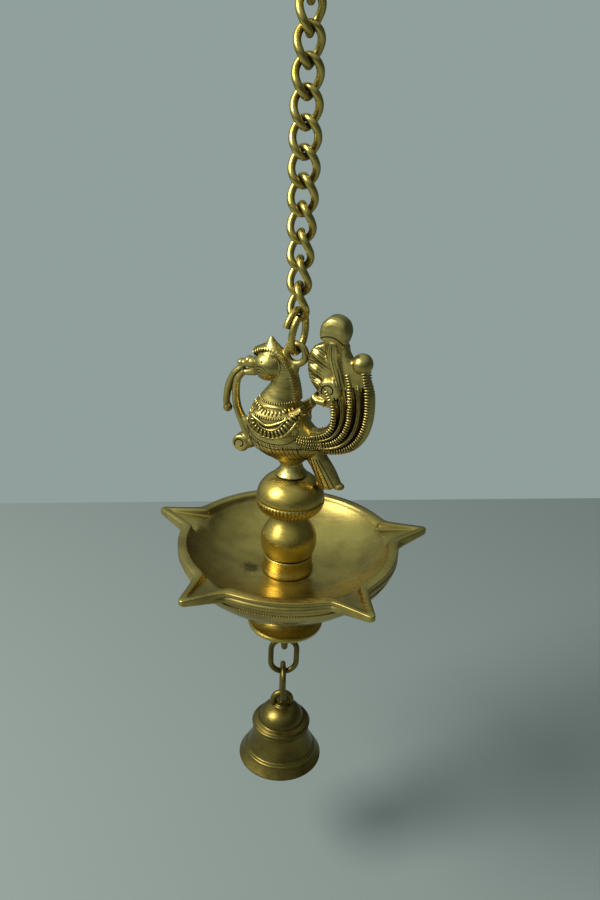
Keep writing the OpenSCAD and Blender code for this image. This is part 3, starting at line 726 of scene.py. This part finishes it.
def castPlate(name, outline, thick, edge=0.8):
    # flat plate with rounded edges, from an outline in the bird's plane
    path = smoothPath(list(outline) + [outline[0]], 140)[:-1]
    middle = path.mean(axis=0)
    rings = []
    for inset, y in ((edge * 1.2, -thick / 2), (edge * 0.3, -thick / 2 + edge * 0.3), (0, -thick / 2 + edge),
                     (0, thick / 2 - edge), (edge * 0.3, thick / 2 - edge * 0.3), (edge * 1.2, thick / 2)):
        pulled = path + (middle - path) / np.linalg.norm(middle - path, axis=1)[:, None] * inset
        rings.append(np.c_[pulled[:, 0], np.full(len(path), y), pulled[:, 1]])
    return castForm(name, rings)


def ovalPoints(middle, half):
    return [(middle[0] + half[0] * math.cos(a), middle[1] + half[1] * math.sin(a)) for a in np.linspace(0, 6, 9)]


# body levels: height, middle, half length, share of the full thickness
levels = [[5.0, -0.4, 5.2, 0.52], [6.6, -2.0, 8.2, 0.66], [8.6, -3.1, 12.0, 0.82], [11, -2.6, 14.4, 0.93],
          [15, -3, 15, 1], [19, -4.8, 13.2, 0.96], [23, -6.2, 10.9, 0.84], [27, -6.1, 8.7, 0.7], [31, -4.9, 7, 0.58],
          [35, -3.6, 5.5, 0.48], [38.5, -4.2, 5, 0.44], [42, -6.8, 4.8, 0.42], [45, -8.6, 3.6, 0.36]]
levels = smoothPath(levels, 60)
around = np.linspace(0, 2 * math.pi, 48, endpoint=False)
bodyRings = [np.c_[v[1] + v[2] * np.cos(around), bird["bodyT"] / 2 * v[3] * np.sin(around), np.full(48, v[0])]
             for v in levels]
tailT = bird["tailT"]
headX, headZ = bird["head"]
maneLine = [(-15.2, 45.2), (-11.8, 46.9), (-7.8, 46.7), (-4.8, 44.4), (-2.2, 41), (-0.6, 37.6), (0.5, 33.6),
            (1.1, 29.6)]
forms = [
    castForm("body", bodyRings),
    castRod("stem", [(0, -0.5), (0, 1.2), (-0.1, 3.4), (-0.6, 6), (-0.9, 9)],
            [6.6, 4.9, 4.0, 5.2, 7], [6.4, 4.8, 3.8, 4.5, 6]),
    castBall("head", (headX, 0, headZ), (6.1, 5.9, 5.8)),
    castRod("crest", [(-9.1, 45.4), (-9.3, 47.2), (-9.6, 49.4), (-9.8, 51.8)],
            [5.0, 3.8, 2.0, 0.2], [3.8, 2.9, 1.6, 0.2]),
    castRod("maneBase", maneLine, [1.3, 1.5, 1.7, 1.7, 1.6, 1.5], [2.6, 3.0, 3.2, 3.2, 3.2, 3.2]),
    castRod("beakUpper", [(-13.5, 41), (-17, 40.6), (-20, 39.8), (-22.4, 38.8)],
            [2.9, 1.9, 1.5, 1.0], [3.2, 2.1, 1.6, 1.0]),
    castRod("beakLower", [(-13.5, 38.6), (-16.5, 37.2), (-19.8, 36.2)], [2.2, 1.7, 1.1], [2.4, 1.7, 1.1]),
    castBall("beakCere", (-18.4, 0, 41.3), (1.5, 2.1, 1.6), 16),
    castBall("beakKnob", (-21.4, 0, 40.0), (1.6, 1.9, 1.4), 16),
    castRod("vineOuter", [(-20.6, 38.4), (-23.6, 35.9), (-25.7, 32.5), (-26.9, 28.4), (-27.4, 23.5), (-27, 21.2)],
            [1.2, 1.3, 1.3, 1.3, 1.2, 1.4], [1.5, 1.7, 1.8, 1.8, 1.6, 1.6]),
    castBall("vineBud", (-26.9, 0, 21), (1.8, 1.9, 1.8), 16),
    castRod("vineInner", [(-20, 36.8), (-22.9, 33), (-23.6, 27.6), (-23, 22.4), (-21.4, 18.4), (-19.2, 13.8),
                          (-17.6, 10.4)], [1.2, 1.3, 1.4, 1.5, 1.7, 1.8, 1.9], [1.6, 1.8, 1.8, 1.8, 1.8, 1.9, 2.0]),
    castRod("vineLeaf", [(-21.6, 18.8), (-19.4, 17.2), (-17, 14.6)], [0.6, 1.6, 1.8], [1.2, 1.7, 1.8]),
    castRod("vineCurl", [(-15.4, 9.6), (-18, 8.6), (-20.6, 8.2)], [2.2, 2.6, 3.3], [2.2, 2.5, 2.7]),
    castPlate("vineDisc", ovalPoints((-20.4, 8.2), (3.5, 3.4)), 5.6, 0.9),
    castPlate("tailKnob", [(11.8, 53.4), (9.8, 54.4), (9.3, 57), (10.2, 60.2), (12.8, 62.5), (16, 62.6), (18.8, 60.8),
                           (19.9, 57.6), (19.2, 54.4), (17.6, 51), (17.2, 47.6), (12.8, 47.6), (13, 51)],
              tailT - 0.2, 2.0),
    castBall("tailBall", (24.8, 0, 47.0), (3.8, 4.1, 3.8)),
    castPlate("tailPlate", [(12, 29), (10.4, 33.6), (6.8, 38.2), (5.6, 42), (5.4, 47), (7.4, 51), (10, 52.4), (12, 53),
                            (18.6, 53), (19.6, 50.4), (22, 47.2), (26.4, 45), (27, 39), (20, 31)], tailT * 0.62),
    castRod("knobStem", [(18.4, 38), (16.4, 44), (15, 49), (14.8, 54)], [1.6, 2.9, 3.6, 4.2], [4.1, 4.3, 4.4, 4.5]),
    castPlate("tailCurl", ovalPoints((14.7, 36.7), (4.3, 4.2)), tailT + 1.3, 1.2),
    castRod("feather", [(8.6, 10), (11, 6.6), (13.6, 2.4), (15.8, -3.0)], [4.2, 3.9, 4.4, 5.1], [3.2, 2.9, 2.6, 2.1]),
    castBall("featherLobeA", (11.8, 0, -2.2), (1.7, 1.9, 1.6), 16),
    castBall("featherLobeB", (15.4, 0, -2.7), (2.2, 2.0, 1.2), 16),
    castBall("featherLobeC", (19.2, 0, -1.9), (2.2, 2.0, 1.4), 16),
]
for name, x, z, size in (("lobeA", 8.2, 48.2, 3.5), ("lobeB", 7.8, 42.8, 3.7), ("lobeC", 9.4, 37.8, 3.1)):
    forms.append(castRod(name, [(x - size * 0.55, z + 0.8), (x + 1, z), (x + 6, z - 2.8)],
                         [size * 0.55, size * 0.8, size * 0.5], [2.6, 4.0, 3.9]))
forms.append(castRod("backCurl", [(7.6, 32.9), (9.6, 31.6), (13, 31.4)], [1.6, 1.9, 1.8], [2.8, 3.8, 4.0]))
# tail ribs sweep out of the back and up, on a thinner web
outerRib = np.array([[4, 13.6], [27, 8], [32, 24], [26.4, 44.6]], float)
innerRib = np.array([[4, 18], [15.4, 15], [20.6, 24], [13.6, 36.4]], float)
ribEnds = np.array([[0, 0], [0, 0], [0, 1], [0.2, 2.4]])
ribPaths = [bezierPath(outerRib * (1 - k) + innerRib * k + ribEnds * math.sin(math.pi * k), 60)
            for k in np.linspace(0, 1, 5)]
for k, path in enumerate(ribPaths):
    ends = np.interp(np.linspace(0, 1, 60), [0, 0.86, 1], [1, 1, 0.35])
    edge = 0.72 if k == 0 else 1
    forms.append(castForm(f"web{k}", sweptRings(path, bird["webHalf"] * ends, bird["webDeep"] * edge * ends, 20)))
    forms.append(castForm(f"rib{k}", sweptRings(path, bird["ribHalf"] * ends, tailT / 2 * edge * ends, 20)))
lugR, lugZ = bird["lugR"], bird["lugZ"]
lugRings = []
for a in np.linspace(0, 2 * math.pi, 49):
    b = np.linspace(0, 2 * math.pi, 16, endpoint=False)
    r = lugR + bird["lugWireR"] * np.cos(b)
    lugRings.append(np.c_[r * math.cos(a), bird["lugWireR"] * np.sin(b), lugZ + r * math.sin(a)])
forms.append(castForm("lug", lugRings))
forms.append(castRod("lugRoot", [(0, lugZ - lugR - 0.3), (-0.8, lugZ - lugR - 2.6), (-1.8, lugZ - lugR - 5.6)],
                     [1.6, 2.1, 2.6], [1.5, 1.9, 2.6]))
for side in (-1, 1):
    forms.append(castBall("wing", (-5.4, side * bird["bodyT"] * 0.37, 20.6), (10.2, bird["bodyT"] * 0.19, 6.4)))
    wingTip = castRod("wingTip", [(-1.4, 22.6), (2.4, 25), (5.6, 27.8)], [2.6, 2.3, 1.8], [2.2, 2.1, 1.9])
    for v in wingTip.data.vertices:
        v.co.y += side * bird["bodyT"] * 0.28 * mm
    forms.append(wingTip)
for form in forms:
    recalcOutwards(form)
casting = joinedPiece("peacockCasting", forms)
fuse = casting.modifiers.new("fuse", "REMESH")
fuse.mode = "VOXEL"
fuse.voxel_size = bird["voxelMm"] * mm
soften = casting.modifiers.new("soften", "SMOOTH")
soften.factor = 0.5
soften.iterations = bird["softenTimes"]
graph = bpy.context.evaluated_depsgraph_get()
fusedMesh = bpy.data.meshes.new_from_object(casting.evaluated_get(graph))
bpy.data.objects.remove(casting)
fusedMesh.polygons.foreach_set("use_smooth", [True] * len(fusedMesh.polygons))
fusedMesh.materials.clear()
fusedMesh.materials.append(castBrass)
casting = linkedObject("peacockCasting", fusedMesh)
print("peacock fused,", len(fusedMesh.polygons), "faces")

skinTree = BVHTree.FromPolygons([v.co.copy() for v in fusedMesh.vertices],
                                [list(face.vertices) for face in fusedMesh.polygons])
ornament = []
cutShadeStrips = []


def laidOn(points, side, lift=0.0):
    # drops a line drawn in the bird's plane onto its front (-1) or back (1) face
    spots, leans = [], []
    for x, z in points:
        hit = skinTree.ray_cast(birdPoint(x, side * 40, z), Vector((0, -side, 0)))
        if hit[0] is not None and hit[0].y * side > 0.5 * mm and hit[1].y * side > 0.3:
            spots.append(hit[0] + hit[1] * lift * mm)
            leans.append(hit[1])
    return spots, leans


def beadRow(points, spacing, length, width, height, lift=0.0):
    for side in (-1, 1):
        spots, leans = laidOn(points, side, lift)
        if len(spots) > 3:
            ornament.append(grownMesh("row", pathObject("rowGuide", spots, leans=leans), beads,
                                      {"Bead Spacing": spacing * mm, "Bead Length": length * mm,
                                       "Bead Width": width * mm, "Bead Height": height * mm}, castBrass))


def wireRow(points, radius, lift=0.0, store=ornament, finish=castBrass):
    for side in (-1, 1):
        spots = laidOn(points, side, lift)[0]
        if len(spots) > 3:
            store.append(grownMesh("line", pathObject("lineGuide", spots), wire,
                                   {"Wire Radius": radius * mm, "Round Steps": 6}, finish))


def cutRow(points, radius=0.2, count=30):
    # a cut line drawn as a dark strip almost flush with the skin: painted shade of the groove, with old grime in it
    wireRow(smoothPath(points, count), radius, -radius * 0.45, cutShadeStrips, cutShadeBrass)


# tail: beaded ribs and plain ribs by turns, dark strips of painted shade and grime between them
for k, path in enumerate(ribPaths):
    if k % 2 == 0:
        beadRow(path[12:], 1.02, 0.85, 2.3, 1.3, 0.0)
    else:
        cutRow(path[14:56:3], 0.16, 60)
    if k:
        cutRow(((path + ribPaths[k - 1]) / 2)[12:56:3], 0.34, 60)
# mane over the head and down the back of the neck, ribbed across
maneSpots = [birdPoint(x, 0, z) for x, z in smoothPath(maneLine, 80)]
ornament.append(grownMesh("mane", pathObject("maneGuide", maneSpots, leans=[Vector((0, 1, 0))] * 80), beads,
                          {"Bead Spacing": 0.98 * mm, "Bead Length": 0.9 * mm, "Bead Width": 3.4 * mm,
                           "Bead Height": 7.3 * mm}, castBrass))
# necklace: two ropes with a row of drops between
beadRow(smoothPath([(-14.2, 29.4), (-9.4, 28.4), (-4, 28.4), (1.2, 29.4)], 60), 0.9, 0.8, 1.1, 1.0, 0.05)
beadRow(smoothPath([(-15.2, 26.9), (-9.8, 25.8), (-4, 25.8), (1.4, 26.9)], 60), 1.35, 1.1, 2.5, 1.3, 0.0)
beadRow(smoothPath([(-16, 24.6), (-10.4, 23.7), (-4, 23.8), (1.6, 25)], 60), 0.9, 0.8, 1.1, 1.0, 0.05)
# wing: raised rim, long petals, a strap that dips in the middle and a smooth leaf under it
wingArc = smoothPath([(-15.4, 23.6), (-14.6, 19.8), (-11, 16.8), (-5.6, 16), (-0.4, 17.8), (3, 21.6), (5, 26.2)], 70)
wireRow(wingArc, 0.62, 0.05)
wingMid = np.array([-5, 23.4])
beadRow(wingMid + (wingArc - wingMid) * 0.77, 1.5, 1.25, 3.2, 1.6, 0.1)
wireRow(wingMid + (wingArc - wingMid) * 0.52, 0.45, 0.1)
wireRow(smoothPath([(-15, 24), (-10.4, 22.6), (-6.6, 21.2), (-2.4, 22.6), (1.4, 24.8), (5, 27.4)], 50), 0.55, 0.15)
cutRow([(-14, 23), (-10.2, 21.6), (-6.6, 20.3), (-2.4, 21.7), (1.4, 23.9)], 0.2)
# breast and belly feathers: one long band, then slanting cuts with a hatch between
cutRow([(-17.4, 17.6), (-15.6, 13.8), (-10.6, 11.8), (-4, 11.6), (3, 12.8), (9, 13.6)], 0.26, 60)
cutRow([(-17.6, 20.6), (-16.4, 16.6), (-12, 14.2), (-5, 13.6), (1, 14.8), (5, 17.8)], 0.22, 60)
for k in range(13):
    x = -16.4 + 1.75 * k
    cutRow([(x, 12.6 + 0.06 * k), (x + 0.9, 10.4), (x + 2.4, 8.2), (x + 4.2, 6.6 + 0.12 * k)],
           0.24 if k % 3 == 0 else 0.15)
for k in range(22):
    x = -16.6 + 1.05 * k
    cutRow([(x, 13.9), (x + 0.35, 13.2), (x + 0.8, 12.4)], 0.14, 8)
for k in range(4):
    band = smoothPath([(1.6 + 1.4 * k, 19.4 - 1.7 * k), (6.4 + k, 17.4 - 1.3 * k), (11 + k * 1.2, 17.4 - 1.5 * k)], 30)
    beadRow(band, 0.85, 0.55, 1.7, 0.8, 0.0)
    cutRow((band + np.array([0.2, -0.85]))[::4], 0.17)
# leaf that carries the knob, its lobes and the curls
for shift in (-2.0, -0.2, 1.6):
    cutRow([(18.2 + shift * 0.4, 38.6), (16.3 + shift * 0.8, 44), (15 + shift, 49), (14.9 + shift * 0.8, 53.6)],
           0.18, 40)
wireRow(smoothPath([(19.6, 38.4), (18.2, 43.6), (16.8, 48), (16.4, 53)], 40), 0.75, -0.45)
wireRow(smoothPath([(16.8, 38.8), (14.4, 43.6), (13.6, 48), (13.6, 53)], 40), 0.75, -0.45)
for x, z in ((5.6, 49.8), (4.9, 46.2), (4.7, 43), (5.8, 39.8), (7.6, 36.8)):
    for shift in (0, 1.15, 2.2):
        cutRow([(x, z + shift), (x + 2.6, z + shift - 0.2), (x + 6.4, z + shift - 2.2)], 0.17, 20)
cutRow([(9.6, 54.7), (11.8, 55.9), (14.6, 56.1), (17, 55.2), (18.8, 53.4)], 0.3)
for cx, cz, r, turns in ((14.7, 36.6, 2.9, 0.72), (-20.4, 8.2, 2.3, 0.8)):
    curl = []
    for k in np.linspace(0, 1, 12):
        a, reach = 3.6 - turns * 6.28 * k, r * (1 - 0.6 * k)
        curl.append((cx + reach * math.cos(a), cz + reach * math.sin(a)))
    cutRow(curl, 0.32, 40)
# face: small drilled eye as a dark dot of painted shade, dark cut arcs of the lid and cheek
for r, low, high in ((1.0, 0.3, 2.8), (2.0, 0.2, 2.6), (3.0, 0.4, 2.2)):
    cutRow([(-11.6 + r * math.cos(a), 38.4 + r * math.sin(a)) for a in np.linspace(low, high, 8)], 0.17, 24)
wireRow([(headX + 5.3 * math.cos(a), headZ + 5.0 * math.sin(a)) for a in np.linspace(-2.2, 1.5, 40)], 0.45, -0.12)
for side in (-1, 1):
    spot = laidOn([(-11, 43.2)], side)[0][0]
    dot = spunMesh("eye", [(0, -0.4), (0.3, -0.28), (0.42, 0), (0.3, 0.28), (0, 0.4)], spot, cutShadeBrass, 16)
    cutShadeStrips.append(dot)
# split vine and the ribs of the hanging feather
cutRow([(-20.8, 37.7), (-23.4, 34.9), (-24.7, 31.6), (-25.2, 28.4)], 0.3)
for shift in (-2.6, -0.9, 0.9, 2.6):
    cutRow([(10 + shift * 0.6, 8.6), (12.2 + shift * 0.9, 4), (15.2 + shift * 1.3, -2.6)], 0.24)
ornamentPiece = joinedPiece("peacockOrnament", ornament)
# the dark cut strips, painted shade of the grooves with some grime, are joined into one piece
cutShadePiece = joinedPiece("peacockCutShadeStrips", cutShadeStrips)
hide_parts("peacock")
for piece, slotName in ((casting, "cast_brass"), (ornamentPiece, "cast_brass"), (cutShadePiece, "dark_brass")):
    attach(piece, "lamp")
print("peacock ready")


# studio: pale floor, window-like key from the left, camera at the photograph's angle
studio = {"floorDrop": 62, "farEdge": 345, "nearEdge": -1400, "halfWidth": 1500, "turn": 6.5, "paper": "#A9B4B3",
          "backdrop": "#91A09D", "roomDim": 0.22, "roomBright": 1.8, "brightSide": (-0.5, -0.05, 0.82), "ambient": 0.55}


def paperMaterial(hexCode):
    material = bpy.data.materials.new("matteStudioPaper")
    material.use_nodes = True
    shader = material.node_tree.nodes["Principled BSDF"]
    shader.inputs["Base Color"].default_value = linearColour(hexCode)
    shader.inputs["Roughness"].default_value = 0.9
    return material


cameraFit = {"yaw": 21.5, "pitch": 25.219, "roll": 2.636, "fromRim": (2.882, -295.037, 177.956), "lens": 35}
yaw, pitch, roll = (math.radians(cameraFit[k]) for k in ("yaw", "pitch", "roll"))
turnYaw = Matrix.Rotation(yaw, 3, "Z")
paperAt = Vector((0, 0, cadBounds[0][2] - studio["floorDrop"] * mm))
corners = [(-1, "nearEdge"), (1, "nearEdge"), (1, "farEdge"), (-1, "farEdge")]
turnFloor = Matrix.Rotation(yaw + math.radians(studio["turn"]), 3, "Z")  # levels the far edge in the tilted picture
verts = [turnFloor @ Vector((side * studio["halfWidth"], studio[edge], 0)) * mm + paperAt for side, edge in corners]
floor = meshObject("studioFloor", verts, [(0, 1, 2, 3)], paperMaterial(studio["paper"]))

windowKey = {"at": (-0.66, -0.3, 0.62), "aim": (0, 0, 0.02), "size": (0.4, 0.5), "power": 8.2, "colour": "#FFFFF6"}
light = bpy.data.lights.new("windowKey", "AREA")
light.shape = "RECTANGLE"
light.size, light.size_y = windowKey["size"]
light.energy = windowKey["power"]
light.color = linearColour(windowKey["colour"])[:3]
holder = linkedObject("windowKey", light)
place, aim = (turnYaw @ Vector(windowKey[k]) + Vector((0, 0, rimZ)) for k in ("at", "aim"))
holder.location = place
holder.rotation_euler = (aim - place).to_track_quat("-Z", "Y").to_euler()

# the room is one pale tone to the eye; mirrored in brass it is brightest above and to the left
world = bpy.data.worlds.new("softRoom")
world.use_nodes = True
tree = world.node_tree
tree.nodes.clear()
ray = addNode(tree, "ShaderNodeLightPath")
looking = addNode(tree, "ShaderNodeTexCoord").outputs["Generated"]
facing = addNode(tree, "ShaderNodeVectorMath", operation="DOT_PRODUCT", links={0: looking},
                 inputs={1: turnYaw @ Vector(studio["brightSide"])})
falloff = mapRange(tree, facing.outputs["Value"], 0.0, 0.8, studio["roomDim"], studio["roomBright"])
mirrored = addNode(tree, "ShaderNodeMath", operation="MAXIMUM",
                   links={0: ray.outputs["Is Glossy Ray"], 1: ray.outputs["Is Transmission Ray"]})
inBrass = addNode(tree, "ShaderNodeMix", data_type="FLOAT", inputs={2: studio["ambient"]},
                  links={0: mirrored.outputs["Value"], 3: falloff})
toEye = addNode(tree, "ShaderNodeMix", data_type="FLOAT", inputs={3: 1.0},
                links={0: ray.outputs["Is Camera Ray"], 2: inBrass.outputs[0]})
room = addNode(tree, "ShaderNodeBackground", inputs={"Color": linearColour(studio["backdrop"])},
               links={"Strength": toEye.outputs[0]})
addNode(tree, "ShaderNodeOutputWorld", links={"Surface": room.outputs["Background"]})
bpy.context.scene.world = world

camera = bpy.data.cameras.new("photoCamera")
camera.lens = cameraFit["lens"]
camera.sensor_width = 36
holder = linkedObject("photoCamera", camera)
forward = Vector((0, math.cos(pitch), -math.sin(pitch)))
up = Vector((0, math.sin(pitch), math.cos(pitch)))
right = Vector((1, 0, 0))
rolledRight = right * math.cos(roll) + up * math.sin(roll)
rolledUp = up * math.cos(roll) - right * math.sin(roll)
axes = Matrix((turnYaw @ rolledRight, turnYaw @ rolledUp, -(turnYaw @ forward))).transposed()
holder.rotation_euler = axes.to_euler()
holder.location = turnYaw @ (Vector(cameraFit["fromRim"]) * mm) + Vector((0, 0, rimZ))
bpy.context.scene.camera = holder
bpy.context.scene.view_settings.view_transform = "Standard"
print("studio ready")
